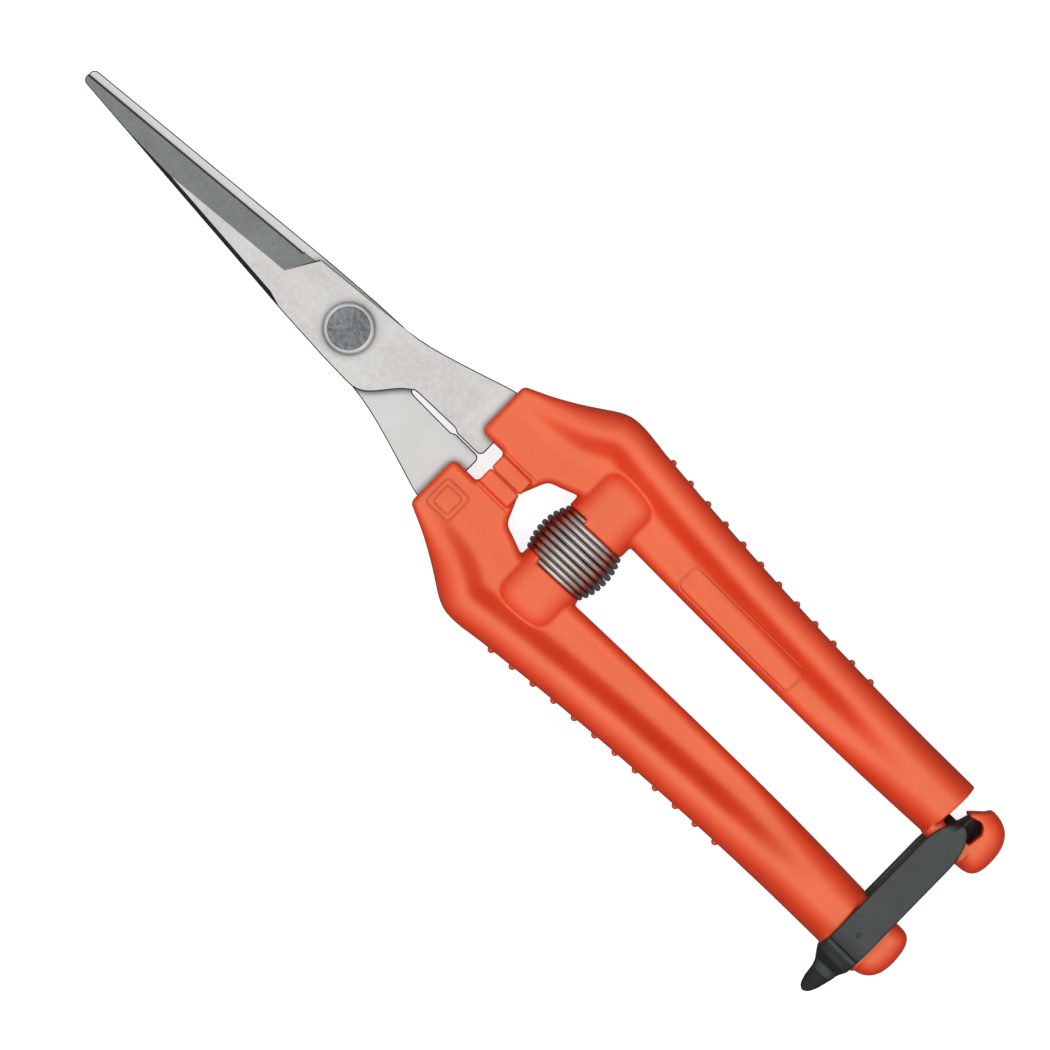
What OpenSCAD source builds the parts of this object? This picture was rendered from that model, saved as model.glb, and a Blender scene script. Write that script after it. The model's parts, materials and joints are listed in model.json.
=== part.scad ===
// Floral snips: two long narrow blades on a rivet, moulded handles, a coil spring
// between them and a rubber strap that latches the handle ends together.
// Units are millimetres. +X runs towards the blade tips, +Z is up, and the tool lies
// on its handle ribs at z = 0 with the middle of its outline over the origin.

/* [Blades] */
// pivot centre to blade tip
blade_reach = 61; // [50:1:75]
// steel thickness of each blade
blade_t = 2.0; // [1.6:0.1:2.4]
// half the width of the blade pair beside the rivet
root_half = 6.5; // [5.8:0.1:7.6]
// distance of a blade's back from the tool's centre line near the tip
tip_half = 1.75; // [1.4:0.05:2.2]
// how far the cutting edge starts past the centre line
heel_drop = 3.8; // [3.2:0.1:4.4]
// width of the main ground bevel
bevel_w = 4.35; // [3.6:0.05:4.8]
// air between the two blades
blade_gap = 0.04; // [0.02:0.01:0.08]

/* [Pivot] */
// rivet shank diameter
rivet_d = 5.0; // [4:0.1:6]
// rivet head diameter
head_d = 8.8; // [8:0.1:10]
// rivet head height over the blade
head_h = 1.1; // [0.8:0.1:1.6]
// radial clearance of the rear blade on the shank
pivot_clear = 0.04; // [0.02:0.01:0.08]
// washer diameter
washer_d = 9.6; // [8.6:0.1:11]
// washer thickness
washer_t = 0.8; // [0.6:0.1:1.2]

/* [Handles] */
// pivot centre to the far end of the handles
handle_reach = 139; // [120:1:170]
// centre line to the outer edge at the shoulders
shoulder_half = 22.6; // [20:0.2:26]
// centre line to the outer edge near the handle ends
tail_half = 18.3; // [16.5:0.1:20]
// centre line to the inner edge of each grip
inner_half = 6.7; // [6.3:0.1:7.4]
// half thickness of the flat land of the handles
land_half = 4.2; // [3.8:0.1:4.8]
// half thickness at the crest of the outer rib
rib_half = 7.8; // [7.7:0.1:9]
// radius of the outer rib
rib_r = 3.6; // [3.2:0.1:4]
// how far the middle of each tang is from the tool's mid plane
tang_mid = 0.72; // [0:0.02:0.8]
// clearance of a tang in its handle
tang_clear = 0.05; // [0.03:0.01:0.1]
// gap left at each pair of stops
stop_gap = 0.2; // [0.1:0.05:0.4]
// grip pips along each outer edge
pip_count = 12; // [6:1:14]

/* [Spring] */
// pivot centre to the spring axis
spring_x = 53; // [50:0.5:58]
// radius of the round boss that carries the spring
boss_r = 6.15; // [5.6:0.05:6.6]
// greatest outside diameter of the barrel spring
spring_d = 15.2; // [13.5:0.1:15.3]
// wire diameter
wire_d = 1.0; // [0.7:0.05:1.05]
// turns of wire
spring_turns = 9; // [7:1:9]

/* [Strap] */
// strap width along the handles
strap_w = 6.4; // [5:0.1:6.6]
// strap thickness
strap_t = 2.0; // [1.5:0.1:2.2]
// length of the pull tab past the handle
tab_len = 7.8; // [6:0.2:12]

/* [Hidden] */
// shared frame: the pivot sits here, so the whole outline is centred on the origin
pivot_x = (handle_reach - blade_reach) / 2;
strap_out = tail_half + tab_len;
pivot_y = -(strap_out - shoulder_half) / 2;
pivot_z = rib_half;
// heights of the blade faces over the tool's mid plane
face_lo = blade_gap / 2;
face_hi = face_lo + blade_t;
// blade outline
tip_r = 1.1;
edge_x = 14.2;
edge_rise = atan(heel_drop / (blade_reach - edge_x));
// the tang steps towards the mid plane between these two distances from the pivot
step_near = 18.3;
step_far = 22;
tang_end = 46;
// the tang is full width past its land, then tapers from this distance to its end
tang_land = 30.6;
tang_taper = 38;
tang_in = 5;
tang_out = 12;
tang_tip = [8.4, 11];
slot_half = 0.55;
// handle outline
head_x = 27.6;
shoulder_x = 45.6;
bend_x = handle_reach - 17;
body_x = handle_reach - 11.3;
neck_x = handle_reach - 4.6;
strap_x = (body_x + neck_x) / 2;
neck_r = 4.85;
rear_neck_y = tail_half - neck_r - 0.1;
front_neck_y = inner_half + 0.45;
loop_r = neck_r + 0.05;
// the rib bends with this radius between the shoulder and bend_x
bend_len = bend_x - shoulder_x;
bend_rise = shoulder_half - tail_half;
bend_r = (pow(bend_len, 2) + pow(bend_rise, 2)) / (2 * bend_rise);
// spring seats: the rear seat faces -Y and the front seat faces +Y
rear_seat = 6.15;
front_seat = 5.0;
spigot_r = boss_r - 1.15;
seat_r = spigot_r + 0.1 + wire_d / 2;
belly_r = spring_d / 2 - wire_d / 2;
spring_hi = 5.55;
spring_lo = -4.4;
steel = [0.78, 0.77, 0.75];
orange = [0.90, 0.30, 0.17];
dark = [0.20, 0.22, 0.22];

// puts a shape drawn about the pivot into the shared frame
module at_pivot() {
  translate([pivot_x, pivot_y, pivot_z]) children();
}

// points of a cubic curve
function curve(a, b, c, d, n) = [
  for (i = [0 : n])
    let (t = i / n, s = 1 - t)
      s * s * s * a + 3 * s * s * t * b + 3 * s * t * t * c + t * t * t * d
];

// points of an arc
function arc(cx, cy, r, from, to, n) = [
  for (i = [0 : n])
    let (t = from + (to - from) * i / n)
      [cx + r * cos(t), cy + r * sin(t)]
];

// ---------------------------------------------------------------- blades

// outline of a blade whose cutting edge and tang are on the -Y side
module blade_outline() {
  polygon(concat(
    // cutting edge and rounded tip
    [[edge_x - 1.6, -heel_drop - 0.95]],
    [[edge_x, -heel_drop]],
    arc(blade_reach - tip_r, 0.35, tip_r, -22, 84, 6),
    // straight back
    [[10, root_half - 0.75]],
    [[0, root_half - 0.1]],
    // sweep down to the slot
    curve([-6, root_half + 0.1], [-10.2, root_half + 0.3], [-11, 2.6], [-14.6, 0], 10),
    [[-15, -0.3]],
    [[-15.8, -slot_half + 0.15]],
    [[-24.2, -slot_half]],
    [[-25.1, -stop_gap / 2]],
    // stop land and its round corner
    arc(1 - tang_land, -stop_gap / 2 - 1, 1, 90, 180, 5),
    [[-tang_land, -tang_in]],
    [[-tang_taper, -tang_in]],
    [[-tang_end, -tang_tip[0]]],
    [[-tang_end, -tang_tip[1]]],
    [[4 - tang_taper, -tang_out]],
    [[-head_x, -tang_out]],
    // flare of the tang
    curve([-26, -11.6], [-16, -8.4], [-12, -7.1], [-7, -6.55], 6)
  ));
}

// side view of the steel strip, with the small step that brings the two tangs level enough to meet
module strip_profile() {
  polygon([
    [blade_reach + 5, face_lo], [blade_reach + 5, face_hi],
    [-step_near, face_hi], [-step_far, tang_mid + blade_t / 2],
    [-tang_end - 5, tang_mid + blade_t / 2], [-tang_end - 5, tang_mid - blade_t / 2],
    [-step_far, tang_mid - blade_t / 2], [-step_near, face_lo]
  ]);
}

// everything above the main bevel, ending at the slanted plunge
module bevel_cutter() {
  slope = atan((blade_t - 0.3) / (bevel_w - 0.35));
  intersection() {
    translate([edge_x, -heel_drop, face_lo + 0.3])
      rotate([0, 0, edge_rise])
        translate([-10, 0.35, 0])
          rotate([slope, 0, 0])
            translate([0, -8, 0]) cube([blade_reach, 20, 8]);
    translate([edge_x - 2.3, -heel_drop - 0.2, -5])
      rotate([0, 0, 62.5])
        translate([-60, -90, 0]) cube([150, 90, 20]);
  }
}

// the narrow steep bevel right at the cutting edge
module edge_cutter() {
  translate([edge_x, -heel_drop, face_lo + 0.06])
    rotate([0, 0, edge_rise])
      rotate([36, 0, 0])
        translate([0, -4, 0]) cube([blade_reach, 8, 4]);
}

// chamfer along the back of the blade, which deepens over its first few millimetres
module back_cutter() {
  fall = atan((root_half - 0.75 - tip_half) / (blade_reach - 13));
  run_in = 4;
  ramp = atan(0.56 / run_in);
  translate([10, root_half - 0.75, face_hi - 0.78])
    rotate([0, 0, -fall])
      translate([run_in, 0, 0])
        rotate([-45, 0, 0]) {
          translate([0, -4, 0]) cube([blade_reach, 8, 4]);
          rotate([0, ramp, 0]) translate([-run_in - 1, -4, 0]) cube([run_in + 1.02, 8, 4]);
        }
}

// blade with its inner face at the tool's mid plane
module blade(bore_r) {
  difference() {
    intersection() {
      translate([0, 0, -6]) linear_extrude(12) blade_outline();
      translate([0, 20, 0]) rotate([90, 0, 0]) linear_extrude(40) strip_profile();
    }
    bevel_cutter();
    edge_cutter();
    back_cutter();
    translate([0, 0, -6]) cylinder(r = bore_r, h = 12, $fn = 64);
  }
}

module front_blade() {
  color(steel) at_pivot() blade(rivet_d / 2 + 0.01);
}

module rear_blade() {
  color(steel) at_pivot() rotate([180, 0, 0]) blade(rivet_d / 2 + pivot_clear);
}

// ---------------------------------------------------------------- pivot

module pivot_rivet() {
  washer_low = -face_hi - 0.03 - washer_t;
  rim = head_d / 2;
  color(steel) at_pivot() difference() {
    union() {
      translate([0, 0, washer_low - 1]) cylinder(d = rivet_d, h = face_hi - washer_low + 1.2, $fn = 64);
      translate([0, 0, face_hi]) rotate_extrude($fn = 64) polygon(concat(
        [[0, 0], [rim, 0]],
        arc(rim - 0.5, head_h - 0.5, 0.5, 0, 90, 5),
        [[0, head_h]]
      ));
      translate([0, 0, washer_low]) rotate_extrude($fn = 64) polygon(concat(
        [[0, 0]],
        arc(0, 0, 3.6, 0, -18, 3),
        [[2.4, -1.5], [0, -1.5]]
      ));
    }
    translate([0, 0, face_hi + head_h - 0.3]) cylinder(r = rim - 0.85, h = 1, $fn = 64);
  }
}

module pivot_washer() {
  color(steel) at_pivot() translate([0, 0, -face_hi - 0.03 - washer_t]) difference() {
    cylinder(d = washer_d, h = washer_t, $fn = 64);
    translate([0, 0, -1]) cylinder(r = rivet_d / 2 + 0.02, h = washer_t + 2, $fn = 64);
  }
}

// ---------------------------------------------------------------- handles
// drawn for the +Y side; the front handle is the same shape turned over

// outer edge of the handle at a distance x from the pivot
function edge_y(x) = tail_half + bend_r - sqrt(pow(bend_r, 2) - pow(min(x - bend_x, 0), 2));

// eases from 0 to 1
function ease(t) = let (u = max(0, min(1, t))) u * u * (3 - 2 * u);

// half height and half width of the rib at a distance x from the pivot
function rib_hz(x) =
  land_half + 0.15 + (rib_half - land_half - 0.15) * ease((x - 27) / 19)
  - (rib_half - 5.8) * ease((x - body_x + 40) / 40);
function rib_w(x) = rib_r * (0.75 + 0.25 * ease((x - 28) / 14));

// the outer rib: an oval section that follows the outer edge from the head to the strap
module rib() {
  sides = 28;
  power = 0.86;
  edge = concat(
    [[-head_x - 0.05, 13.6]],
    curve([-31, 15], [-38.5, 19.3], [-41.5, shoulder_half], [-47.5, edge_y(47.5)], 6),
    [for (i = [1 : 9]) let (x = 47.5 + (body_x - 47.5) * i / 9) [-x, edge_y(x)]]
  );
  n = len(edge);
  rings = [
    for (p = edge, k = [0 : sides - 1])
      let (a = 360 * k / sides, w = rib_w(-p[0]), h = rib_hz(-p[0]))
        [
          p[0],
          p[1] - w + w * sign(cos(a)) * pow(abs(cos(a)), power),
          h * sign(sin(a)) * pow(abs(sin(a)), power)
        ]
  ];
  skin = [
    for (i = [0 : n - 2], k = [0 : sides - 1])
      let (c = i * sides + k, d = i * sides + (k + 1) % sides)
        for (t = [[c, d, c + sides], [d, d + sides, c + sides]]) t
  ];
  lids = [
    [for (k = [0 : sides - 1]) sides - 1 - k],
    [for (k = [0 : sides - 1]) (n - 1) * sides + k]
  ];
  polyhedron(points = rings, faces = concat(skin, lids), convexity = 4);
}

// flat land and head with the stop lug, seen from above
module land_outline() {
  g = stop_gap / 2;
  polygon(concat(
    arc(-head_x - 1.2, 4.4, 1.2, -90, 0, 4),
    arc(-head_x - 1.2, 12.7, 1.2, 0, 60, 3),
    [[-31.4, 14.9]],
    [[-43, 20]],
    [[-shoulder_x, shoulder_half - 2.5]],
    [[-body_x, tail_half - 2.5]],
    [[-body_x, inner_half + 0.35]],
    [[-95, inner_half - 0.2]],
    [[-spring_x + 5.8, inner_half]],
    [[-42.4, 5.2], [-41.6, 4.7]],
    // lug
    arc(-38.9, 1.1 + g, 1.1, 200, 270, 4),
    arc(-34.3, 1.1 + g, 1.1, 270, 360, 4),
    [[-33.2, 3.2]]
  ));
}

// bevelled inner edge of the land
module land() {
  inner = inner_half - 0.2;
  difference() {
    translate([0, 0, -land_half]) linear_extrude(2 * land_half) land_outline();
    for (m = [0, 1]) {
      mirror([0, 0, m]) {
        translate([-body_x - 10, inner + 1.5, land_half]) rotate([45, 0, 0])
          translate([0, -8, 0]) cube([body_x - 49 + 10, 8, 8]);
      }
    }
  }
}

// cushion across the end of the lug
module lug_cushion() {
  g = stop_gap / 2;
  for (s = [-1, 1]) {
    translate([-38.9, 2.0 + g, s * (land_half - 0.6)]) rotate([0, 90, 0]) cylinder(r = 1.1, h = 5.0, $fn = 32);
  }
}

// round boss, collar and spigot for the spring
module boss(seat) {
  translate([-spring_x, 0, 0]) {
    translate([0, 9.6, 0]) sphere(r = boss_r, $fn = 64);
    translate([0, seat, 0]) rotate([-90, 0, 0]) cylinder(r = boss_r, h = 9.6 - seat, $fn = 64);
    translate([0, 1.4, 0]) rotate([-90, 0, 0]) cylinder(r = spigot_r, h = 6, $fn = 64);
  }
}

// row of grip pips
module pips() {
  first = 54.4;
  last = bend_x - 18.5;
  for (i = [0 : pip_count - 1]) {
    x = first + (last - first) * i / (pip_count - 1);
    translate([-x, edge_y(x) - 0.15, 0.7]) sphere(r = 0.8, $fn = 16);
  }
}

// space for the tang, a little bigger than the steel
module tang_pocket() {
  c = tang_clear;
  h = blade_t / 2 + c;
  translate([0, 0, -tang_mid - h]) linear_extrude(2 * h) polygon([
    [-20, -2], [-tang_land - c, -2], [-tang_land - c, tang_in - c], [-tang_taper - c, tang_in - c],
    [-tang_end - c, tang_tip[0] - 2 * c], [-tang_end - c, tang_tip[1] + c],
    [4 - tang_taper - c, tang_out + c], [-20, tang_out + c]
  ]);
}

// plain part of the handle, shared by both sides
module grip(seat) {
  difference() {
    union() {
      land();
      rib();
      lug_cushion();
      boss(seat);
      pips();
    }
    tang_pocket();
  }
}

// section of the rear neck in the YZ plane
module rear_neck_section() {
  y0 = inner_half + 0.6;
  translate([rear_neck_y, 0]) circle(r = neck_r, $fn = 64);
  translate([y0, -neck_r + 2]) square([rear_neck_y - y0, 2 * neck_r - 4]);
  translate([y0 + 2, -neck_r]) square([rear_neck_y - y0 - 2, 2 * neck_r]);
  translate([y0 + 2, neck_r - 2]) circle(r = 2, $fn = 32);
  translate([y0 + 2, 2 - neck_r]) circle(r = 2, $fn = 32);
}

// end of the rear handle: a neck under the strap and a rounded knob
module rear_end() {
  translate([-neck_x - 0.5, 0, 0]) rotate([90, 0, 90]) linear_extrude(neck_x - body_x + 1) rear_neck_section();
  hull() {
    for (s = [-1, 1], y = [inner_half + 3.8, tail_half - 4.0]) {
      translate([-handle_reach + 3.4, y, s * 1.3]) sphere(r = 3.4, $fn = 28);
    }
    for (s = [-1, 1], y = [inner_half + 2.6, tail_half - 2.9]) {
      translate([-neck_x - 2.1, y, s * 2.5]) sphere(r = 2.1, $fn = 20);
    }
  }
}

// end of the front handle: a neck inside the strap, a knob cut flat beside the strap, and its hook
module front_end() {
  x = handle_reach;
  translate([-neck_x - 0.5, front_neck_y, 0]) intersection() {
    rotate([0, 90, 0]) cylinder(r = neck_r, h = neck_x - body_x + 1, $fn = 64);
    translate([-1, -0.4, -10]) cube([20, 20, 20]);
  }
  intersection() {
    hull() {
      for (s = [-1, 1], y = [inner_half + 3.6, tail_half - 4.3]) {
        translate([-x + 3.5, y, s * 1.2]) sphere(r = 3.5, $fn = 28);
      }
      for (s = [-1, 1], y = [inner_half + 2.4, tail_half - 5.4]) {
        translate([-neck_x - 2.1, y, s * 2.5]) sphere(r = 2.1, $fn = 20);
      }
    }
    translate([-x - 1, 0, -10]) cube([x + 1 - neck_x, tail_half + 5, 20]);
  }
  // hook that keeps the strap in its notch
  translate([0, 0, -3.8]) linear_extrude(7.6) polygon([
    [-x + 3.2, 16.2], [-x + 4.2, 17.1], [-x + 6.0, 17.5], [-x + 6.3, 16.8],
    [-x + 8.6, 14.6], [-x + 8.1, 14.2], [-x + 6.0, 14.75], [-x + 4.7, 13.8], [-x + 4.2, 12.9], [-x + 3.2, 12.9]
  ]);
}

module front_handle() {
  color(orange) at_pivot() rotate([180, 0, 0]) union() {
    grip(front_seat);
    front_end();
  }
}

module rear_handle() {
  color(orange) at_pivot() union() {
    grip(rear_seat);
    rear_end();
  }
}

// ---------------------------------------------------------------- spring

// centre line of the barrel coil
function coil_r(u) = seat_r + (belly_r - seat_r) * pow(sin(180 * u), 0.8);
function coil_at(u) =
  let (a = -33 + 360 * (spring_turns + 0.03) * u, r = coil_r(u))
    [-r * sin(a), spring_hi + (spring_lo - spring_hi) * (u - 0.013 * sin(360 * u)), r * cos(a)];

// round wire swept along the coil as one closed skin
module spring() {
  per_turn = 26;
  sides = 8;
  n = ceil(spring_turns * per_turn);
  rings = [
    for (i = [0 : n])
      let (
        u = i / n,
        c = coil_at(u),
        a = -33 + 360 * (spring_turns + 0.03) * u,
        out = [-sin(a), 0, cos(a)]
      )
        for (k = [0 : sides - 1])
          let (b = 360 * k / sides)
            c + wire_d / 2 * (cos(b) * out + sin(b) * [0, 1, 0])
  ];
  skin = [
    for (i = [0 : n - 1], k = [0 : sides - 1])
      let (a = i * sides + k, b = i * sides + (k + 1) % sides)
        for (t = [[a, b, a + sides], [b, b + sides, a + sides]]) t
  ];
  lids = [
    [for (k = [0 : sides - 1]) sides - 1 - k],
    [for (k = [0 : sides - 1]) n * sides + k]
  ];
  color(steel) at_pivot() translate([-spring_x, 0, 0])
    polyhedron(points = rings, faces = concat(skin, lids), convexity = 10);
}

// ---------------------------------------------------------------- strap

// closed loop round both necks, seen along X
module loop_section() {
  a = rear_neck_y;
  b = -front_neck_y;
  out = loop_r + strap_t;
  difference() {
    union() {
      translate([a, 0]) circle(r = out, $fn = 72);
      translate([b, 0]) circle(r = out, $fn = 72);
      translate([b, -out]) square([a - b, 2 * out]);
    }
    translate([a, 0]) circle(r = loop_r, $fn = 72);
    translate([b, 0]) circle(r = loop_r, $fn = 72);
    translate([b, -loop_r]) square([a - b, 2 * loop_r]);
  }
}

// plan shape of the strap: a rounded point in the notch, straight run, narrower over the edge
module strap_plan() {
  w = strap_w / 2;
  low = -front_neck_y - loop_r - strap_t;
  polygon(concat(
    [for (i = [0 : 12]) let (t = 180 + 15 * i) [w * cos(t), low + 7.6 + 8.6 * sin(t)]],
    [[w, tail_half - 0.5], [w - 0.9, tail_half + 1.5], [w - 0.9, tail_half + 4]],
    [[-w + 0.9, tail_half + 4], [-w + 0.9, tail_half + 1.5], [-w, tail_half - 0.5]]
  ));
}

// teardrop pull tab
module tab_plan() {
  y0 = tail_half + 0.9;
  y1 = strap_out;
  polygon(concat(
    curve([-2.6, y0], [-1.9, y0 + 2.6], [-1.8, y1 - 2.2], [-0.9, y1 - 0.4], 6),
    [[0, y1]],
    curve([0.9, y1 - 0.4], [1.8, y1 - 2.2], [1.9, y0 + 2.6], [2.6, y0], 6)
  ));
}

module strap() {
  color(dark) at_pivot() translate([-strap_x, 0, 0]) union() {
    intersection() {
      translate([-20, 0, 0]) rotate([90, 0, 90]) linear_extrude(40) loop_section();
      translate([0, 0, -20]) linear_extrude(40) strap_plan();
    }
    translate([0, 0, -1.3]) linear_extrude(2.6) tab_plan();
  }
}

front_blade();
rear_blade();
pivot_rivet();
pivot_washer();
front_handle();
rear_handle();
spring();
strap();
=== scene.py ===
import json
import math

import bpy
import numpy as np
from mathutils import Matrix, Vector


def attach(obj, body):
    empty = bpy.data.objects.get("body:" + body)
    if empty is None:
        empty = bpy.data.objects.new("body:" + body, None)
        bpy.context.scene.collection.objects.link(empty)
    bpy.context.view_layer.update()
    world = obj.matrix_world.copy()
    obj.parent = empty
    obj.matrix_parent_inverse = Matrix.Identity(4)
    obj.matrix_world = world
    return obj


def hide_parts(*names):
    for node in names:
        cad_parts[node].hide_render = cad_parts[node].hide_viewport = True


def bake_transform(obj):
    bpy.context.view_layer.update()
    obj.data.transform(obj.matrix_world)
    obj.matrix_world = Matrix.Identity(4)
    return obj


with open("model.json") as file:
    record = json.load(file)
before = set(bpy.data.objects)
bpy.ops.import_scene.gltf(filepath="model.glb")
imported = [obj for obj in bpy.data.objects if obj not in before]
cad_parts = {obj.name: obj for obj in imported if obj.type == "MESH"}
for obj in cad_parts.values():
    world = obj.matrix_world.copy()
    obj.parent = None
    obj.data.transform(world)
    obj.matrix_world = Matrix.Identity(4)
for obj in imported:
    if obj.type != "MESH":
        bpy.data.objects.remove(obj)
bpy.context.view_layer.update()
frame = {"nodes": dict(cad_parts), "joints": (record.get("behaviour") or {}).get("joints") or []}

MM = 0.001
JOINTS = {joint["name"]: joint for joint in frame["joints"]}
PIVOT = Vector(JOINTS["blade_pivot"]["pos_m"])

# Sizes of the design, in millimetres from the rivet's axis, with +x towards the tips.
# handles: total reach, shoulder, end of the body, end of the neck, and half widths
REACH = 139.0
SHOULDER_X = 45.6
BODY_X = 127.7
NECK_X = 134.4
SHOULDER_Y = 22.55
TAIL_Y = 18.2
# half thickness of the flat land, of the rib's crest and of the necks under the strap
LAND = 4.2
CREST = 7.8
NECK = 4.85
# strap: middle of its width, width and thickness
STRAP_X = (BODY_X + NECK_X) / 2
STRAP_W = 6.4
STRAP_T = 2.0
# spring: its axis, the boss and spigot that carry it, outer size, wire, turns, ends
SPRING_X = 53.0
BOSS_R = 6.15
SPIGOT_R = 5.0
SPRING_D = 15.2
WIRE = 1.04
TURNS = 9.03
COIL_START = -33.0
COIL_TOP, COIL_LOW = 5.55, -4.4
# rivet head, top of the blades, middle of the tangs
HEAD_D, HEAD_H = 8.8, 1.1
BLADE_TOP = 2.02
TANG_Z = 0.72
# grid step of the moulded shapes
VOXEL = 0.3


# ------------------------------------------------------------------ small maths


def ease(t):
    """0 to 1 with level ends."""
    u = np.clip(t, 0.0, 1.0)
    return u * u * (3 - 2 * u)


def arc(cx, cy, r, start, end, count):
    return [(cx + r * math.cos(math.radians(start + (end - start) * i / count)),
             cy + r * math.sin(math.radians(start + (end - start) * i / count)))
            for i in range(count + 1)]


def curve(a, b, c, d, count):
    """Points of a cubic curve."""
    out = []
    for i in range(count + 1):
        t = i / count
        s = 1 - t
        w = (s * s * s, 3 * s * s * t, 3 * s * t * t, t * t * t)
        out.append(tuple(sum(k * p[n] for k, p in zip(w, (a, b, c, d))) for n in (0, 1)))
    return out


def line_distance(x, y, points):
    """Distance from every grid point to an open line of points."""
    best = np.full(np.broadcast(x, y).shape, 1e9, np.float32)
    for (ax, ay), (bx, by) in zip(points, points[1:]):
        ex, ey = bx - ax, by - ay
        t = np.clip(((x - ax) * ex + (y - ay) * ey) / max(ex * ex + ey * ey, 1e-12), 0, 1)
        best = np.minimum(best, np.hypot(x - ax - t * ex, y - ay - t * ey))
    return best


def outline_distance(x, y, points):
    """Distance to a closed outline, below zero inside it."""
    closed = list(points) + [points[0]]
    inside = np.zeros(np.broadcast(x, y).shape, bool)
    for (ax, ay), (bx, by) in zip(closed, closed[1:]):
        if ay == by:
            continue
        crosses = ((ay > y) != (by > y)) & (x < (bx - ax) * (y - ay) / (by - ay) + ax)
        inside ^= crosses
    return np.where(inside, -1, 1) * line_distance(x, y, closed)


def join(a, b, k):
    """Union with a fillet of about k."""
    h = np.clip(0.5 + 0.5 * (b - a) / k, 0, 1)
    return b + (a - b) * h - k * h * (1 - h)


def meet(a, b, r):
    """Intersection whose edge is rounded with radius r."""
    return (np.minimum(np.maximum(a + r, b + r), 0)
            + np.hypot(np.maximum(a + r, 0), np.maximum(b + r, 0)) - r)


# ------------------------------------------------------------------ meshes from fields


class Space:
    """A grid of points over a box, in millimetres."""

    def __init__(self, low, high, step):
        self.low, self.step = np.array(low, float), step
        self.n = [int(math.ceil((b - a) / step)) + 1 for a, b in zip(low, high)]
        axes = [a + step * np.arange(n) for a, n in zip(low, self.n)]
        self.x = axes[0][:, None, None].astype(np.float32)
        self.y = axes[1][None, :, None].astype(np.float32)
        self.z = axes[2][None, None, :].astype(np.float32)

    def sample(self, field, points):
        """Trilinear values of a field at points."""
        g = (points - self.low) / self.step
        i = np.clip(np.floor(g).astype(int), 0, np.array(self.n) - 2)
        t = g - i
        total = np.zeros(len(points))
        for dx in (0, 1):
            for dy in (0, 1):
                for dz in (0, 1):
                    w = (np.where(dx, t[:, 0], 1 - t[:, 0]) * np.where(dy, t[:, 1], 1 - t[:, 1])
                         * np.where(dz, t[:, 2], 1 - t[:, 2]))
                    total += w * field[i[:, 0] + dx, i[:, 1] + dy, i[:, 2] + dz]
        return total

    def gradient(self, field, points):
        h = self.step * 0.5
        cols = []
        for n in range(3):
            d = np.zeros(3)
            d[n] = h
            cols.append((self.sample(field, points + d) - self.sample(field, points - d)) / (2 * h))
        return np.stack(cols, 1)

    def skin(self, field):
        """Quads of the surface where the field is zero (one vertex per crossed cell)."""
        low = field < 0
        count = np.zeros([n - 1 for n in self.n], np.int8)
        total = np.zeros([n - 1 for n in self.n] + [3], np.float32)
        for axis in range(3):
            a = np.moveaxis(field, axis, 0)
            f0, f1 = a[:-1], a[1:]
            crossed = (f0 < 0) != (f1 < 0)
            t = np.where(crossed, f0 / np.where(crossed, f0 - f1, 1), 0)
            for s1 in (0, 1):
                for s2 in (0, 1):
                    pick = (slice(None), slice(s1, s1 + a.shape[1] - 1), slice(s2, s2 + a.shape[2] - 1))
                    c, tt = np.moveaxis(crossed[pick], 0, axis), np.moveaxis(t[pick], 0, axis)
                    count += c
                    others = [n for n in range(3) if n != axis]
                    total[..., axis] += tt * c
                    total[..., others[0]] += s1 * c
                    total[..., others[1]] += s2 * c
        used = count > 0
        index = np.full(used.shape, -1, np.int64)
        index[used] = np.arange(used.sum())
        cells = np.argwhere(used)
        points = self.low + (cells + total[used] / count[used][:, None]) * self.step
        quads = []
        for axis in range(3):
            a = np.moveaxis(low, axis, 0)
            ids = np.moveaxis(index, axis, 0)
            crossed = a[:-1] != a[1:]
            inner = crossed[:, 1:-1, 1:-1]
            where = np.argwhere(inner)
            i, j, k = where[:, 0], where[:, 1], where[:, 2]
            loop = np.stack([ids[i, j, k], ids[i, j + 1, k], ids[i, j + 1, k + 1], ids[i, j, k + 1]], 1)
            flip = a[:-1][:, 1:-1, 1:-1][inner]
            if axis == 1:
                flip = ~flip
            loop[~flip] = loop[~flip][:, ::-1]
            quads.append(loop)
        return points, np.concatenate(quads)


def field_mesh(space, field, name, turn_over=False, relax=2):
    """A smooth closed mesh object of a field, placed about the rivet."""
    points, quads = space.skin(field)
    for step in range(relax + 1):
        if step:
            near = np.zeros_like(points)
            number = np.zeros(len(points))
            for n in range(4):
                for m in (1, 3):
                    np.add.at(near, quads[:, n], points[quads[:, (n + m) % 4]])
                    np.add.at(number, quads[:, n], 1)
            points = points + 0.6 * (near / number[:, None] - points)
        for _ in range(2):
            g = space.gradient(field, points)
            size = np.maximum((g ** 2).sum(1), 0.05)
            move = -(space.sample(field, points) / size)[:, None] * g
            points = points + np.clip(move, -space.step, space.step)
    g = space.gradient(field, points)
    normals = g / np.maximum(np.linalg.norm(g, axis=1), 1e-9)[:, None]
    if turn_over:
        points, normals = points * (1, -1, -1), normals * (1, -1, -1)
    return mesh_object(name, points, quads, normals)


def mesh_object(name, points, faces, normals=None):
    """A mesh object from points in millimetres about the rivet."""
    mesh = bpy.data.meshes.new(name)
    places = np.asarray(points, float) * MM + np.array(PIVOT)
    mesh.from_pydata(places.tolist(), [], [list(map(int, f)) for f in faces])
    mesh.shade_smooth()
    if normals is not None:
        mesh.normals_split_custom_set_from_vertices(np.asarray(normals, float).tolist())
    mesh.validate()
    thing = bpy.data.objects.new(name, mesh)
    bpy.context.scene.collection.objects.link(thing)
    return thing


# ------------------------------------------------------------------ handles
# Drawn for the rear handle (+y); the front handle is the same moulding turned over.


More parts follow.
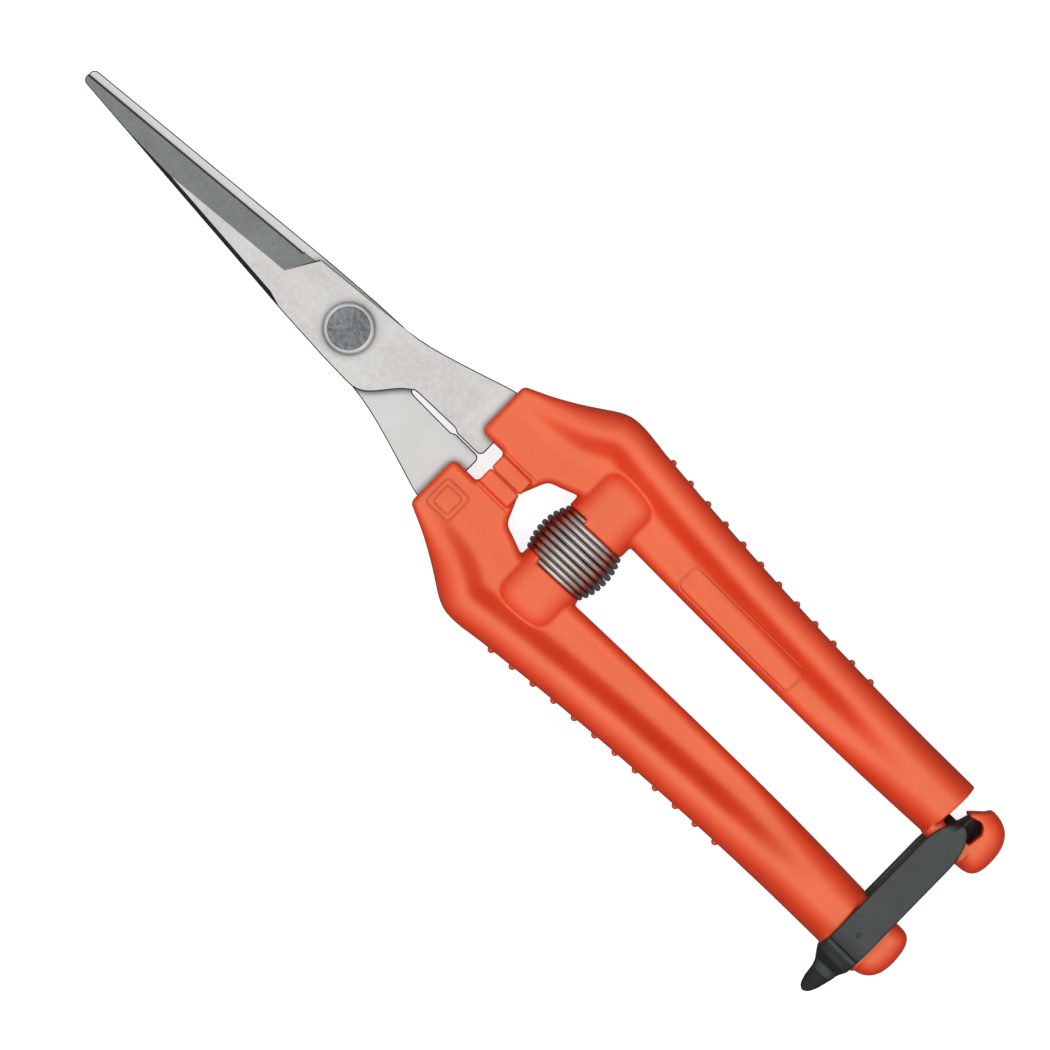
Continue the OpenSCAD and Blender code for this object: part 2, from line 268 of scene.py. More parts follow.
def outer_edge(count=40):
    """Outer edge of the handle from its front corner to the strap."""
    bend = BODY_X - 5.7
    rise = SHOULDER_Y - TAIL_Y
    r = ((bend - SHOULDER_X) ** 2 + rise ** 2) / (2 * rise)
    tail = []
    for i in range(1, count + 1):
        x = 50 + (BODY_X - 50) * i / count
        tail.append((-x, TAIL_Y + r - math.sqrt(r * r - min(x - bend, 0) ** 2) + 0.12))
    return (curve((-28.2, 13.85), (-32.5, 15.4), (-37, 18.2), (-40.3, 20.45), 8)
            + curve((-40.3, 20.45), (-43.2, 22.4), (-44.2, 22.9), (-48.5, 22.45), 8)[1:] + tail)


def inner_edge():
    """Inner edge of the grip from the strap back to the lug."""
    xs = np.linspace(-BODY_X, -SPRING_X + 5.8, 24)
    ys = 6.25 + np.where(xs < -98, 0.65 * ((xs + 98) / 29.5) ** 2, 0.45 * ((xs + 98) / 40) ** 2)
    return list(zip(xs.tolist(), ys.tolist()))


def body_outline():
    return (arc(-28.8, 4.45, 1.2, -90, 0, 6) + arc(-28.75, 12.75, 1.15, 0, 62, 5)
            + outer_edge()[1:] + [(-REACH, TAIL_Y + 0.12), (-REACH, 6.8)] + inner_edge()
            + curve((-43.6, 5.6), (-42.2, 5.2), (-41.8, 5.0), (-41.3, 4.1), 5)
            + arc(-38.9, 1.35, 1.15, 200, 270, 5) + arc(-34.4, 1.35, 1.15, 270, 360, 5)
            + [(-33.2, 2.6), (-32.7, 3.25)])


def thickness(x, y, edge):
    """Half thickness of the handle over the plan, before its edges are rounded."""
    u = -x
    out = line_distance(x, y, edge)
    crest = LAND + 0.1 + (CREST - LAND - 0.1) * ease((u - 28) / 22) - 1.9 * ease((u - 90) / 40)
    # a flat land, a short steep bank and a rounded rib; the rib is narrower at the head
    out = out / (0.42 + 0.58 * ease((u - 27) / 18))
    share = np.interp(out, (0, 4.5, 5.4, 7.4, 8.1, 9.6), (1, 1, 0.88, 0.14, 0.04, 0))
    rib = LAND + (crest - LAND) * share
    middle = 12.4
    oval = 5.9 * np.sqrt(np.clip(1 - 0.30 * ((y - middle) / 5.7) ** 2, 0.05, 1))
    fade = ease((u - 97) / 27)
    return rib * (1 - fade) + oval * fade


def soft(grid, spread):
    """A 2D grid blurred by about that many cells."""
    for _ in range(int(round(2 * spread ** 2))):
        wide = np.pad(grid, 1, mode="edge")
        grid = (wide[:-2, 1:-1] + 2 * grid + wide[2:, 1:-1]) / 4
        wide = np.pad(grid, 1, mode="edge")
        grid = (wide[1:-1, :-2] + 2 * grid + wide[1:-1, 2:]) / 4
    return grid


def shell(space):
    """The head, grip and rib as one field."""
    x, y = space.x[:, :, 0], space.y[:, :, 0]
    edge = outer_edge()
    flat = outline_distance(x, y, body_outline())
    half = soft(thickness(x, y, edge), 0.42 / space.step)
    gx, gy = np.gradient(half, space.step)
    steep = np.sqrt(1 + gx ** 2 + gy ** 2)[:, :, None]
    u = -x
    tail = ease((u - 97) / 27)
    inner_r = 1.35 + 0.75 * ease((u - 44) / 8) + 2.35 * tail
    outer_r = 1.2 + 2.7 * ease((u - 29) / 14) + 0.6 * tail
    middle = 9.5 + 4.5 * ease((u - 34) / 10) - 2.5 * ease((u - 50) / 50)
    side = ease((y - middle + 2) / 4)
    r = inner_r * (1 - side) + outer_r * side
    body = meet((np.abs(space.z) - half[:, :, None]) / steep, flat[:, :, None], r[:, :, None])
    return meet(body, -BODY_X - space.x - 0.07 * (space.y - 9), 0.3)


def boss(space, seat_top, seat_turn, seat_rise):
    """Round boss, collar with its helical spring seat, and the spigot."""
    x, y, z = space.x + SPRING_X, space.y, space.z
    ring = np.hypot(x, z)
    block = (np.abs(x) ** 2.8 + np.abs(z) ** 2.8) ** (1 / 2.8)
    angle = np.degrees(np.arctan2(-x, z))
    seat = seat_top - seat_rise * np.mod(angle - seat_turn, 360) / 360
    body = meet(block - BOSS_R, y - 16.2, 4.6)
    collar = meet(body, seat - y, 0.25)
    spigot = meet(ring - SPIGOT_R, np.abs(y - 5.2) - 3.8, 0.5)
    return collar, spigot


def pips(name, side):
    """The row of small round grip pips along the outer edge."""
    edge = outer_edge(200)
    xs, ys = np.array([p[0] for p in edge]), np.array([p[1] for p in edge])
    points, faces, rings, sides = [], [], 9, 16
    for i in range(12):
        px = -54.4 - (103.5 - 54.4) * i / 11
        py = float(np.interp(-px, -xs, ys)) - 0.02
        base = len(points)
        for j in range(rings):
            a = math.pi * (j + 0.5) / rings
            for k in range(sides):
                b = 2 * math.pi * k / sides
                points.append((px + 0.64 * math.sin(a) * math.cos(b),
                               (py + 0.64 * math.sin(a) * math.sin(b)) * side, 1.3 + 0.64 * math.cos(a)))
        for j in range(rings - 1):
            for k in range(sides):
                m = (k + 1) % sides
                face = (j * sides + k, (j + 1) * sides + k, (j + 1) * sides + m, j * sides + m)
                faces.append([base + v for v in (face if side > 0 else face[::-1])])
        ends = [list(range(sides))[::-1], [(rings - 1) * sides + k for k in range(sides)]]
        faces += [[base + v for v in (e[::-1] if side > 0 else e)] for e in ends]
    return mesh_object(name, points, faces)


def rounded_plate(space, outline, half, r):
    flat = outline_distance(space.x[:, :, 0], space.y[:, :, 0], outline)
    return meet(np.abs(space.z) - half, flat[:, :, None], r)


def rear_end(space, field):
    """Neck under the strap and the plain rounded knob."""
    x, y, z = space.x, space.y, space.z
    neck = meet(meet(np.abs(z) - NECK, np.maximum(7.3 - y, y - TAIL_Y + 0.1), 2.6),
                np.abs(x + STRAP_X) - 3.9, 0.2)
    field = join(field, neck, 0.2)
    knob = [(-130.6, 7.3), (-130.6, 17.7), (-134.5, 17.7)] + curve((-135.6, 17.6), (-138.2, 16.9),
            (-138.9, 14.6), (-138.9, 12.4), 10) + curve((-138.9, 12.4), (-138.9, 9.2), (-138.2, 7.1),
            (-136.2, 7.05), 10) + [(-134.5, 7.05)]
    return join(field, rounded_plate(space, knob, 4.8, 3.1), 0.2)


def front_end(space, field):
    """Neck inside the strap, knob, and the hook that keeps the strap in its notch."""
    x, y, z = space.x, space.y, space.z
    neck = meet(meet(np.abs(z) - NECK, np.maximum(6.75 - y, y - 10.6), 1.6),
                np.abs(x + STRAP_X) - 3.9, 0.2)
    field = join(field, neck, 0.2)
    dome = ([(-127.0, 17.6), (-127.0, 6.75), (-134.4, 6.75)] + curve((-136.0, 6.85), (-138.4, 7.1),
            (-138.9, 8.6), (-138.9, 11.2), 10)
            + curve((-138.9, 11.2), (-138.9, 15.2), (-137.2, 17.5), (-133.6, 17.6), 12))
    # the knob and its hook are what is left of the dome beyond the notch
    keep = [(-130.6, 6.0), (-130.6, 10.3), (-133.9, 10.7), (-134.3, 13.3), (-133.6, 14.4), (-132.7, 14.75),
            (-130.9, 14.15), (-130.4, 14.6), (-132.6, 16.7), (-132.9, 17.5), (-133.1, 19), (-141, 19),
            (-141, 6)]
    beyond = outline_distance(space.x[:, :, 0], space.y[:, :, 0], keep)[:, :, None]
    return join(field, meet(rounded_plate(space, dome, 4.8, 3.6), beyond, 0.3), 0.1)


def tang_slot(space):
    """Space of the steel tang."""
    outline = [(-20, -2), (-30.65, -2), (-30.65, 4.95), (-38, 4.95), (-46.1, 8.3), (-46.1, 11.1),
               (-34, 12.05), (-20, 12.05)]
    flat = outline_distance(space.x[:, :, 0], space.y[:, :, 0], outline)
    return np.maximum(np.abs(space.z + TANG_Z) - 1.04, flat[:, :, None])


def handle(name, side):
    """One moulded handle: side is +1 for the rear one and -1 for the front one."""
    space = Space((-REACH - 0.9, -0.7, -8.7), (-26.6, 24.2, 8.7), VOXEL)
    field = shell(space)
    if side > 0:
        collar, spigot = boss(space, COIL_TOP + WIRE / 2 + 0.03, COIL_START, 1.1)
    else:
        collar, spigot = boss(space, -COIL_LOW + WIRE / 2 + 0.03, 180 + 22.2, 1.0)
    field = join(field, collar, 0.45)
    groove = np.hypot(space.y - 3.3, np.abs(space.z) - LAND - 0.15) - 0.42
    field = np.maximum(field, -np.maximum(groove, np.abs(space.x + 36.6) - 4.2))
    pad = meet(np.abs(space.x + 36.5) - 3.35, np.abs(space.y - 1.53) - 1.51, 0.5)
    pad = meet(pad, np.abs(space.z) - 4.6, 0.5)
    field = join(field, pad, 0.1)
    field = rear_end(space, field) if side > 0 else front_end(space, field)
    field = np.minimum(field, spigot)
    field = np.maximum(field, -tang_slot(space))
    made = field_mesh(space, field, name, turn_over=side < 0)
    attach(made, "rear_half" if side > 0 else "front_half")
    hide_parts("rear_handle" if side > 0 else "front_handle")
    row = pips(name.replace("moulding", "pips"), side)
    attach(row, "rear_half" if side > 0 else "front_half")
    return made, row


rear_handle, rear_pips = handle("rear_handle_moulding", 1)
front_handle, front_pips = handle("front_handle_moulding", -1)


# ------------------------------------------------------------------ spring


def coil_mesh():
    """Round wire along the barrel coil, with cut ends."""
    per_turn, sides = 48, 14
    n = int(TURNS * per_turn)
    seat, belly = SPIGOT_R + 0.1 + WIRE / 2, SPRING_D / 2 - WIRE / 2
    points, faces = [], []
    for i in range(n + 1):
        u = i / n
        a = math.radians(COIL_START + 360 * TURNS * u)
        r = seat + (belly - seat) * math.sin(math.pi * u) ** 0.8
        level = COIL_TOP + (COIL_LOW - COIL_TOP) * (u - 0.013 * math.sin(2 * math.pi * u))
        out = (-math.sin(a), math.cos(a))
        for k in range(sides):
            b = 2 * math.pi * k / sides
            rr = r + WIRE / 2 * math.cos(b)
            points.append((-SPRING_X + rr * out[0], level + WIRE / 2 * math.sin(b), rr * out[1]))
    for i in range(n):
        for k in range(sides):
            a, b = i * sides + k, i * sides + (k + 1) % sides
            faces.append((a, b, b + sides, a + sides))
    faces.append(tuple(range(sides))[::-1])
    faces.append(tuple(n * sides + k for k in range(sides)))
    return points, faces


def spring():
    points, faces = coil_mesh()
    made = mesh_object("spring_coil", points, faces)
    made.data.set_sharp_from_angle(angle=math.radians(50))
    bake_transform(made)
    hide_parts("spring")
    return made


coil = spring()


# ------------------------------------------------------------------ strap


def strap():
    """Closed rubber loop with a rounded point in the notch and a pull tab."""
    space = Space((-STRAP_X - 4, -15, -7.8), (-STRAP_X + 4, 27, 7.8), VOXEL * 0.75)
    x, y, z = space.x + STRAP_X, space.y, space.z
    back, front = 13.35, -7.15
    # the loop seen along x: round at the rear handle, squarer in the notch
    inner_rear = np.hypot(np.maximum(y - back, 0), z) - (NECK + 0.06)
    inner_front = meet(np.abs(z) - (NECK + 0.06), -10.7 - y, 1.7)
    inner = np.where(y > back, inner_rear, np.where(y < front, inner_front, np.abs(z) - (NECK + 0.06)))
    outer_rear = np.hypot(np.maximum(y - back, 0), z) - (NECK + STRAP_T)
    reach = -14.6 + 2.4 * ease((x + 0.3) / 1.2)
    outer_front = meet(np.abs(z) - (NECK + STRAP_T), reach - y, 2.4)
    outer = np.where(y > back, outer_rear, np.where(y < front, outer_front, np.abs(z) - (NECK + STRAP_T)))
    # a tongue with a rounded end lies over the notch, and a squarer bend fills the notch below it
    point = np.clip((y + 4.9) / -7.3, 0, 0.9999)
    tongue = STRAP_W / 2 * np.sqrt(1 - point ** 2)
    tail = np.interp(y, (16.0, 17.4, 18.8, 20.0, 20.8), (3.2, 3.16, 2.95, 2.4, 2.1))
    level = np.clip((np.abs(z) - 0.6) / 4.3, 0, 1) * (y < 0)
    half = (STRAP_W / 2 + 0.1 * ease((-11 - y) / 2)) * (1 - level) + tongue * level
    half = np.where(y > 16, tail, half)
    band = meet(meet(outer, -inner, 0.3), (np.abs(x + 0.1 * ease((-11 - y) / 2)) - half), 0.35)
    # pull tab: a tapering tongue that steps down from the loop and droops to a rounded tip
    start, end = 17.2, 26.1
    stations = (17.0, 18.7, 20.0, 20.8, 21.9, 23.9, 25.0, 25.7, 26.1)
    wide = np.interp(y, stations, (3.1, 3.05, 2.6, 2.3, 2.0, 1.62, 1.25, 0.85, 0.2))
    top = np.interp(y, (16.6, 17.4, 19.0, 20.4, 21.9, 24.0, 26.1), (5.6, 5.45, 4.8, 2.8, 2.55, 0.9, -0.9))
    thick = np.interp(y, (17.2, 20.5, 24.0, 26.1), (1.7, 1.25, 1.1, 0.7))
    shift = 0.4 * ease((y - 18.5) / 3.5)
    tab = np.sqrt(((x + shift) / wide) ** 2 + ((z - top + thick) / thick) ** 2) - 1
    tab = np.maximum(tab * np.minimum(wide, thick) * 0.8, np.maximum(start - y, y - end))
    field = join(band, tab, 0.7)
    # shallow groove before the tab, and a small dimple where the strap crosses the rear handle
    field = np.maximum(field, 0.5 - np.hypot(y - 16.85, z - 6.18))
    dimple = np.sqrt((x * 1.6) ** 2 + (y - 12.9) ** 2 + ((z - 6.95) * 1.5) ** 2) - 0.55
    field = np.maximum(field, -dimple)
    made = field_mesh(space, field, "strap_loop_rubber")
    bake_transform(made)
    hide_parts("strap")
    return made


loop = strap()


# ------------------------------------------------------------------ rivet


def lathe(name, profile, segments=96):
    """A turned piece about the rivet's axis from (radius, height) pairs."""
    points, faces = [], []
    for r, h in profile:
        for k in range(segments):
            a = 2 * math.pi * k / segments
            points.append((max(r, 1e-3) * math.cos(a), max(r, 1e-3) * math.sin(a), h))
    for i in range(len(profile) - 1):
        for k in range(segments):
            a, b = i * segments + k, i * segments + (k + 1) % segments
            faces.append((a, b, b + segments, a + segments))
    faces.append(tuple(range(segments))[::-1])
    faces.append(tuple((len(profile) - 1) * segments + k for k in range(segments)))
    return mesh_object(name, points, faces)


def rivet():
    rim = HEAD_D / 2
    top = BLADE_TOP + HEAD_H
    tail = -BLADE_TOP - 0.83
    profile = ([(0.0, tail - 1.45), (1.4, tail - 1.42)] + [(3.55 * math.cos(a), tail - 1.3 * math.sin(a))
               for a in np.radians([62, 48, 34, 20, 8, 0])]
               + [(2.5, tail), (2.5, BLADE_TOP), (rim - 0.05, BLADE_TOP), (rim, BLADE_TOP + 0.12)]
               + [(rim - 0.22 + 0.22 * math.cos(a), top - 0.52 + 0.22 * math.sin(a))
                  for a in np.radians([0, 15, 30, 45, 60])]
               + [(rim - 0.50, top - 0.10), (rim - 0.56, top - 0.09), (rim - 0.62, top - 0.13)]
               + [(rim - 0.72 + 0.09 * math.cos(a), top - 0.09 + 0.09 * math.sin(a))
                  for a in np.radians([0, 45, 90, 135, 180])]
               + [(rim - 0.86, top - 0.20), (rim - 1.3, top - 0.20), (2.2, top - 0.17), (1.9, top - 0.20),
                  (1.1, top - 0.2), (0.0, top - 0.2)])
    made = lathe("rivet_turned", profile)
    made.data.set_sharp_from_angle(angle=math.radians(40))
    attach(made, "front_half")
    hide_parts("pivot_rivet")
    return made


rivet_piece = rivet()


# ------------------------------------------------------------------ moulded marks


def ring_mesh(name, path, height, width, side, tall=0.16):
    """A raised line that follows a closed path over the handle: height gives z at (x, y)."""
    path = np.array(path, float)
    ahead, behind = np.roll(path, -1, 0), np.roll(path, 1, 0)
    along = ahead - behind
    along /= np.linalg.norm(along, axis=1)[:, None]
    across = np.stack([along[:, 1], -along[:, 0]], 1)
    section = [(math.cos(a), math.sin(a)) for a in np.radians([-30, 0, 30, 60, 90, 120, 150, 180, 210])]
    points, faces, n = [], [], len(section)
    for p, c in zip(path, across):
        for u, v in section:
            q = p + c * u * width / 2
            points.append((q[0], q[1] * side, height(q[0], q[1]) + v * tall))
    for i in range(len(path)):
        j = (i + 1) % len(path)
        for k in range(n):
            m = (k + 1) % n
            face = (i * n + k, i * n + m, j * n + m, j * n + k)
            faces.append(face if side > 0 else face[::-1])
    return mesh_object(name, points, faces)


def rounded_box(x0, x1, y0, y1, r):
    return (arc(x1 - r, y1 - r, r, 0, 90, 8) + arc(x0 + r, y1 - r, r, 90, 180, 8)
            + arc(x0 + r, y0 + r, r, 180, 270, 8) + arc(x1 - r, y0 + r, r, 270, 360, 8))


def land_height(x, y):
    return float(thickness(np.array([[x]]), np.array([[y]]), outer_edge())[0, 0])


def marks():
    """A plain badge on the rear head and a blank panel outline on the front grip."""
    made = [
        ring_mesh("badge_frame", rounded_box(-34.4, -29.2, 6.2, 11.7, 0.8), land_height, 0.36, 1),
        ring_mesh("badge_centre", rounded_box(-33.5, -30.1, 7.1, 10.8, 0.5), land_height, 0.30, 1),
    ]
    for piece in made:
        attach(piece, "rear_half")
    panel = ring_mesh("panel_frame", rounded_box(-94.5, -69.0, 7.4, 12.2, 1.2), land_height, 0.42, -1, 0.13)
    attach(panel, "front_half")
    made.append(panel)
    return made


mark_pieces = marks()


# ------------------------------------------------------------------ materials


def material(name):
    mat = bpy.data.materials.new(name)
    mat.use_nodes = True
    nodes, links = mat.node_tree.nodes, mat.node_tree.links
    shader = next(n for n in nodes if n.type == "BSDF_PRINCIPLED")
    return mat, nodes, links, shader


def noise(nodes, links, scale, detail=3.0, stretch=(1, 1, 1), turn=0.0, rough=0.55):
    place = nodes.new("ShaderNodeTexCoord")
    shift = nodes.new("ShaderNodeMapping")
    shift.inputs["Scale"].default_value = stretch
    shift.inputs["Rotation"].default_value = (0, 0, math.radians(turn))
    cloud = nodes.new("ShaderNodeTexNoise")
    cloud.inputs["Scale"].default_value = scale
    cloud.inputs["Detail"].default_value = detail
    cloud.inputs["Roughness"].default_value = rough
    links.new(place.outputs["Object"], shift.inputs["Vector"])
    links.new(shift.outputs["Vector"], cloud.inputs["Vector"])
    return cloud.outputs["Fac"]


def spread(nodes, links, fac, low, high):
    """A noise value mapped to a range."""
    node = nodes.new("ShaderNodeMapRange")
    node.inputs["From Min"].default_value = 0.3
    node.inputs["From Max"].default_value = 0.7
    node.inputs["To Min"].default_value = low
    node.inputs["To Max"].default_value = high
    links.new(fac, node.inputs["Value"])
    return node.outputs["Result"]


def two_tone(nodes, links, fac, first, second, low=0.35, high=0.65):
    ramp = nodes.new("ShaderNodeValToRGB")
    ramp.color_ramp.elements[0].position = low
    ramp.color_ramp.elements[0].color = (*first, 1)
    ramp.color_ramp.elements[1].position = high
    ramp.color_ramp.elements[1].color = (*second, 1)
    links.new(fac, ramp.inputs["Fac"])
    return ramp.outputs["Color"]


def bump(nodes, links, fac, strength, distance, shader):
    node = nodes.new("ShaderNodeBump")
    node.inputs["Strength"].default_value = strength
    node.inputs["Distance"].default_value = distance
    links.new(fac, node.inputs["Height"])
    links.new(node.outputs["Normal"], shader.inputs["Normal"])


def contact_shade(nodes, links, colour):
    """Darkens a colour within about a millimetre of a step that stands over it."""
    near = nodes.new("ShaderNodeAmbientOcclusion")
    near.samples = 12
    near.inputs["Distance"].default_value = 0.0013
    level = nodes.new("ShaderNodeMapRange")
    level.inputs["From Min"].default_value = 0.5
    level.inputs["From Max"].default_value = 0.95
    level.inputs["To Min"].default_value = 0.42
    level.inputs["To Max"].default_value = 1.0
    links.new(near.outputs["AO"], level.inputs["Value"])
    product = nodes.new("ShaderNodeVectorMath")
    product.operation = "SCALE"
    links.new(colour, product.inputs["Vector"])
    links.new(level.outputs["Result"], product.inputs["Scale"])
    return product.outputs["Vector"]


def plastic():
    mat, nodes, links, shader = material("handle_plastic_finish")
    slow = noise(nodes, links, 90, 3)
    fine = noise(nodes, links, 3200, 2)
    colour = two_tone(nodes, links, slow, (0.69, 0.038, 0.010), (0.745, 0.047, 0.014))
    links.new(colour, shader.inputs["Base Color"])
    links.new(spread(nodes, links, fine, 0.34, 0.44), shader.inputs["Roughness"])
    shader.inputs["IOR"].default_value = 1.6
    shader.inputs["Specular IOR Level"].default_value = 0.97
    shader.inputs["Specular Tint"].default_value = (0.6, 1.0, 0.55, 1)
    shader.inputs["Subsurface Weight"].default_value = 0.3
    shader.inputs["Subsurface Radius"].default_value = (1.0, 0.10, 0.05)
    shader.inputs["Subsurface Scale"].default_value = 0.0022
    bump(nodes, links, fine, 0.12, 0.00004, shader)
    return mat


def metal(name, dark, light, rough, grain, stretch, turn, depth=0.15, shade=False):
    mat, nodes, links, shader = material(name)
    lines = noise(nodes, links, grain, 4, stretch, turn)
    slow = noise(nodes, links, 140, 3)
    mixer = nodes.new("ShaderNodeMix")
    mixer.data_type = "FLOAT"
    mixer.inputs[0].default_value = 0.35
    links.new(lines, mixer.inputs[2])
    links.new(slow, mixer.inputs[3])
    colour = two_tone(nodes, links, mixer.outputs[0], dark, light)
    if shade:
        colour = contact_shade(nodes, links, colour)
    links.new(colour, shader.inputs["Base Color"])
    links.new(spread(nodes, links, lines, rough - 0.05, rough + 0.07), shader.inputs["Roughness"])
    shader.inputs["Metallic"].default_value = 1.0
    bump(nodes, links, lines, depth, 0.00003, shader)
    return mat


def rubber():
    mat, nodes, links, shader = material("strap_rubber_finish")
    slow = noise(nodes, links, 260, 3)
    fine = noise(nodes, links, 2600, 2)
    colour = two_tone(nodes, links, slow, (0.006, 0.009, 0.008), (0.011, 0.015, 0.014))
    links.new(colour, shader.inputs["Base Color"])
    links.new(spread(nodes, links, fine, 0.42, 0.54), shader.inputs["Roughness"])
    shader.inputs["Specular IOR Level"].default_value = 0.86
    shader.inputs["Specular Tint"].default_value = (0.92, 1.0, 0.97, 1)
    bump(nodes, links, fine, 0.45, 0.00007, shader)
    return mat


PLASTIC = plastic()
RUBBER = rubber()
FLAT = metal("blade_satin", (0.48, 0.462, 0.445), (0.62, 0.61, 0.595), 0.36, 1100, (1, 1, 1), 0, 0.25, True)
GROUND = metal("blade_inner_ground", (0.52, 0.505, 0.49), (0.60, 0.59, 0.575), 0.34, 380, (7, 0.6, 7), 32,
               0.2, True)
# ground bevel steel; its darker colour is partly the ground finish and partly painted shade, standing in for
# the dark reflection of the tilted bevel
BEVEL = metal("blade_ground_and_shade", (0.28, 0.305, 0.295), (0.385, 0.415, 0.405), 0.36, 420, (9, 0.5, 9), -24)
# painted shade: near-black steel for the narrow chamfers and outline breaks, standing in for the shade along
# the blade edges
EDGE_SHADE = metal("blade_edge_painted_shade", (0.09, 0.11, 0.10), (0.14, 0.165, 0.155), 0.38, 420, (9, 0.5, 9), 0)
# stamped side faces of the blades; their darker colour is partly the stamped finish and partly painted shade
# on faces turned sideways
SIDE = metal("blade_side_and_shade", (0.22, 0.23, 0.22), (0.30, 0.31, 0.30), 0.42, 500, (1, 1, 8), 0)
WIRE_STEEL = metal("spring_wire", (0.52, 0.50, 0.48), (0.62, 0.60, 0.58), 0.17, 500, (1, 1, 1), 0, 0.06)
RIVET_RIM = metal("rivet_rim", (0.60, 0.60, 0.60), (0.72, 0.72, 0.72), 0.18, 400, (1, 1, 1), 0, 0.08)
RIVET_FACE = metal("rivet_face", (0.09, 0.10, 0.105), (0.27, 0.28, 0.29), 0.34, 1300, (1, 1, 1), 0, 0.5)


def dress(thing, *mats):
    thing.data.materials.clear()
    for mat in mats:
        thing.data.materials.append(mat)


for piece in (rear_handle, rear_pips, front_handle, front_pips, *mark_pieces):
    dress(piece, PLASTIC)
dress(loop, RUBBER)
dress(coil, WIRE_STEEL)
dress(rivet_piece, RIVET_RIM, RIVET_FACE)
for face in rivet_piece.data.polygons:
    c = face.center - PIVOT
    if math.hypot(c.x, c.y) < (HEAD_D / 2 - 0.8) * MM and c.z > BLADE_TOP * MM:
        face.material_index = 1


def dress_blade(node, side):
    """Gives the faces of a blade their finishes, with painted shade on the chamfers, the outline breaks and
    the sideways faces: side is +1 for the blade that lies on top.
    """
    thing = frame["nodes"][node]
    dress(thing, FLAT if side > 0 else GROUND, BEVEL, EDGE_SHADE, SIDE)
    turn = thing.matrix_world.to_3x3()
    for face in thing.data.polygons:
        normal = (turn @ face.normal).normalized()
        place = (thing.matrix_world @ face.center - PIVOT) / MM
        up = normal.z * side
        # flat faces keep the satin steel; sideways faces and the steeper chamfers get the darker steels,
        # which carry painted shade
        if abs(normal.z) > 0.985:
            face.material_index = 0
        elif abs(normal.z) < 0.2:
            face.material_index = 3
        elif place.x < 0:
            face.material_index = 0
        elif up > 0.85:
            face.material_index = 1
        else:
            face.material_index = 2
    weld = thing.modifiers.new("weld", "WELD")
    weld.merge_threshold = 0.000001
    merge = thing.modifiers.new("merge", "DECIMATE")
    merge.decimate_type = "DISSOLVE"
    merge.angle_limit = math.radians(0.5)
    merge.delimit = {"MATERIAL"}
    # a narrow break along the outline in the near-black steel, a painted shade line along the blade edges;
    # the ground edges keep their shape
    soften = thing.modifiers.new("soften", "BEVEL")
    soften.use_clamp_overlap = False
    soften.width = 0.00019
    soften.segments = 1
    soften.limit_method = "ANGLE"
    soften.angle_limit = math.radians(75)
    soften.material = 2


dress_blade("front_blade", 1)
dress_blade("rear_blade", -1)
washer = frame["nodes"]["pivot_washer"]
dress(washer, RIVET_RIM)
ring = washer.modifiers.new("soften", "BEVEL")
ring.width = 0.00012
ring.segments = 3
ring.limit_method = "ANGLE"


# ------------------------------------------------------------------ floor, light, camera


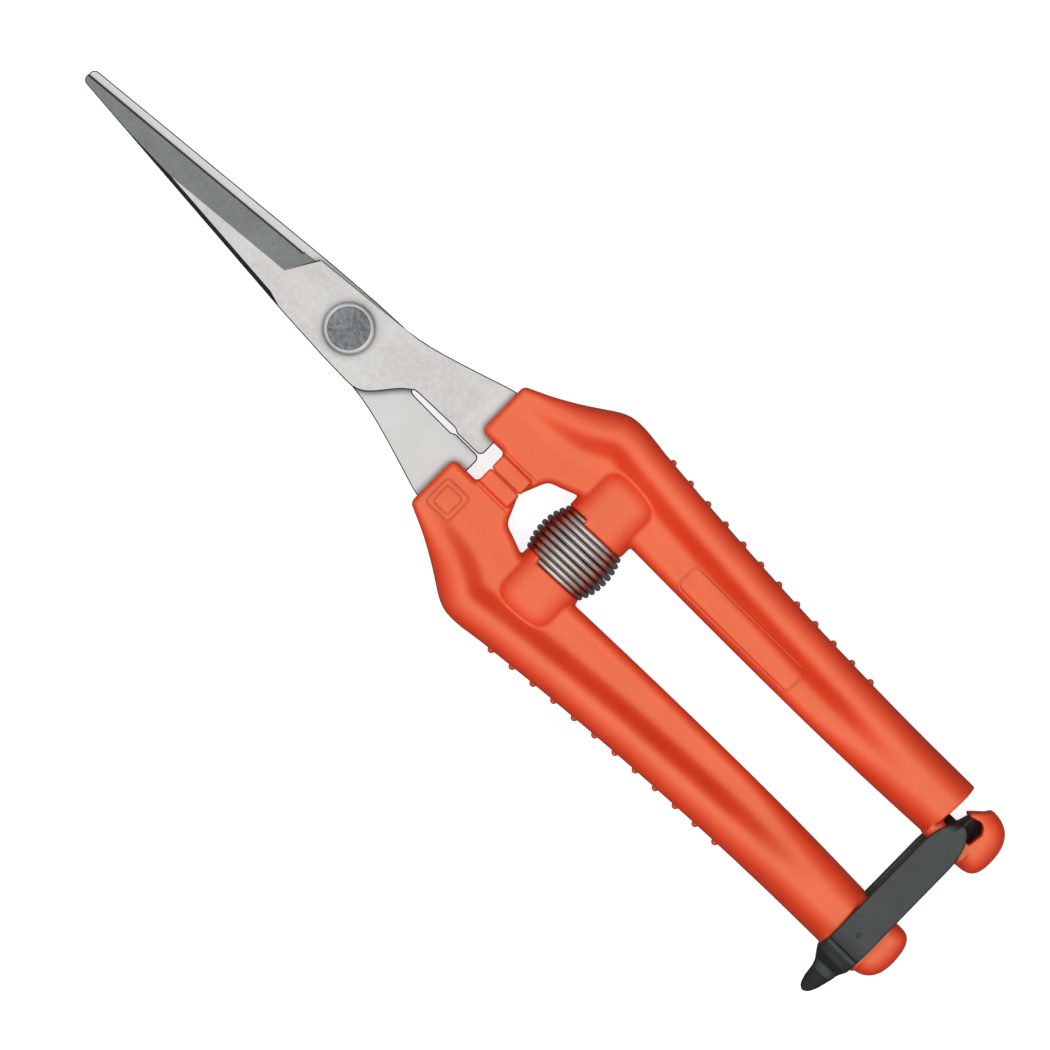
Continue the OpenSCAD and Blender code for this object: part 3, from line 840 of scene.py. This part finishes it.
def studio():
    mesh = bpy.data.meshes.new("floor")
    half = 3.0
    corners = [(-half, -half, 0), (half, -half, 0), (half, half, 0), (-half, half, 0)]
    mesh.from_pydata(corners, [], [(0, 1, 2, 3)])
    floor = bpy.data.objects.new("floor", mesh)
    bpy.context.scene.collection.objects.link(floor)
    mat, nodes, links, shader = material("floor_white")
    shader.inputs["Base Color"].default_value = (0.6, 0.6, 0.6, 1)
    shader.inputs["Roughness"].default_value = 0.9
    shader.inputs["Specular IOR Level"].default_value = 0.0
    shader.inputs["Emission Color"].default_value = (1, 1, 1, 1)
    shader.inputs["Emission Strength"].default_value = 0.75
    mesh.materials.append(mat)
    floor.visible_glossy = False
    floor.visible_diffuse = False
    # a studio that is bright overhead and dark towards its walls: (height of the direction, level)
    world = bpy.data.worlds.new("studio")
    world.use_nodes = True
    nodes, links = world.node_tree.nodes, world.node_tree.links
    back = next(n for n in nodes if n.type == "BACKGROUND")
    place = nodes.new("ShaderNodeTexCoord")
    axes = nodes.new("ShaderNodeSeparateXYZ")
    ramp = nodes.new("ShaderNodeValToRGB")
    levels = ((0.0, 0.10), (0.12, 0.20), (0.28, 0.40), (0.52, 0.46), (0.70, 0.72), (0.86, 1.20), (0.97, 1.30))
    while len(ramp.color_ramp.elements) < len(levels):
        ramp.color_ramp.elements.new(0.5)
    for element, (at, level) in zip(ramp.color_ramp.elements, levels):
        element.position = at
        element.color = (level / 1.5, level / 1.5, level / 1.5, 1)
    links.new(place.outputs["Generated"], axes.inputs["Vector"])
    links.new(axes.outputs["Z"], ramp.inputs["Fac"])
    links.new(ramp.outputs["Color"], back.inputs["Color"])

    def sums(operation, first, second):
        node = nodes.new("ShaderNodeMath")
        node.operation = operation
        for socket, value in zip(node.inputs, (first, second)):
            if isinstance(value, float):
                socket.default_value = value
            else:
                links.new(value, socket)
        return node.outputs["Value"]

    # brighter past the ends of the tool than along its sides
    ends = sums("MULTIPLY", axes.outputs["X"], axes.outputs["X"])
    sides = sums("MULTIPLY", axes.outputs["Y"], axes.outputs["Y"])
    swing = sums("MULTIPLY", sums("SUBTRACT", ends, sides), 0.35)
    links.new(sums("MULTIPLY", sums("ADD", swing, 1.0), 1.5), back.inputs["Strength"])
    bpy.context.scene.world = world
    bpy.context.scene.view_settings.view_transform = "Standard"


def lamp(name, place, size, power):
    """A round soft light aimed at the tool. It isn't mirrored in the steel."""
    data = bpy.data.lights.new(name, "AREA")
    data.shape = "DISK"
    data.size = size
    data.energy = power
    thing = bpy.data.objects.new(name, data)
    aim = (Vector((0, 0, 0)) - Vector(place)).to_track_quat("-Z", "Y").to_matrix().to_4x4()
    thing.matrix_world = Matrix.Translation(place) @ aim
    thing.visible_glossy = False
    bpy.context.scene.collection.objects.link(thing)
    return thing


def camera():
    """Looks straight down, with the tool turned so that its tips point to the upper left."""
    height = 0.9
    data = bpy.data.cameras.new("camera")
    data.sensor_width = 36
    data.lens = 184.6
    data.clip_end = 20
    thing = bpy.data.objects.new("camera", data)
    right, up = Vector((-0.715, -0.699, 0)).normalized(), Vector((0.699, -0.715, 0)).normalized()
    turn = Matrix((right, up, Vector((0, 0, 1)))).transposed().to_4x4()
    thing.matrix_world = Matrix.Translation((-0.0049, 0.00115, height + PIVOT.z)) @ turn
    bpy.context.scene.collection.objects.link(thing)
    bpy.context.scene.camera = thing


studio()
lamp("overhead", (0.0, 0.1, 1.5), 1.2, 9)
lamp("fill", (0.2, 1.3, 0.9), 0.9, 3)
camera()
